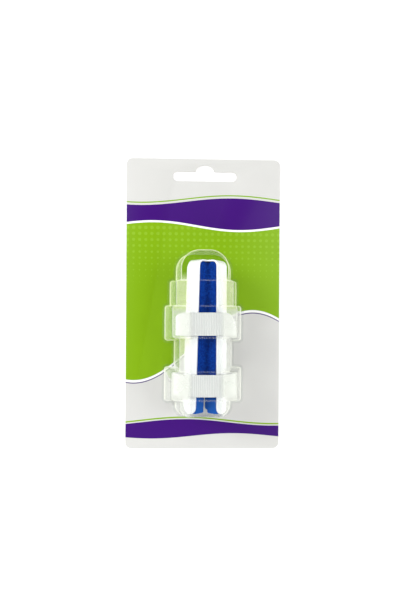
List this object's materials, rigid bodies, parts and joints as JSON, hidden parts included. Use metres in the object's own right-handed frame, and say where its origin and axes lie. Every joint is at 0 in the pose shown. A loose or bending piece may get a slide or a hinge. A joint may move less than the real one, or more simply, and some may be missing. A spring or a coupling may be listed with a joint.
{
  "type": "finger splint on a blister card",
  "caption": "Four-sided aluminium finger splint lined with foam, with ribbed elastic bands, held in a clear stepped blister on a hanging card.",
  "frame": {"origin": "middle of the card's back face, which lies on the surface", "axes": "+Z out of the card's front, +Y along the card towards its hang hole and the splint's fingertip end, +X to the right as seen from the front"},
  "size_m": [0.076, 0.1436, 0.0252],
  "materials": {
    "card": "coated paperboard, satin",
    "aluminium": "bright satin",
    "foam": "open-cell foam, matte",
    "elastic": "ribbed woven elastic, matte",
    "clear_plastic": "clear thermoformed sheet, glossy"
  },
  "bodies": {
    "root": {"card": "card", "splint_sheet": "aluminium", "foam_lining": "foam", "upper_band": "elastic", "lower_band": "elastic", "blister": "clear_plastic"}
  },
  "joints": []
}
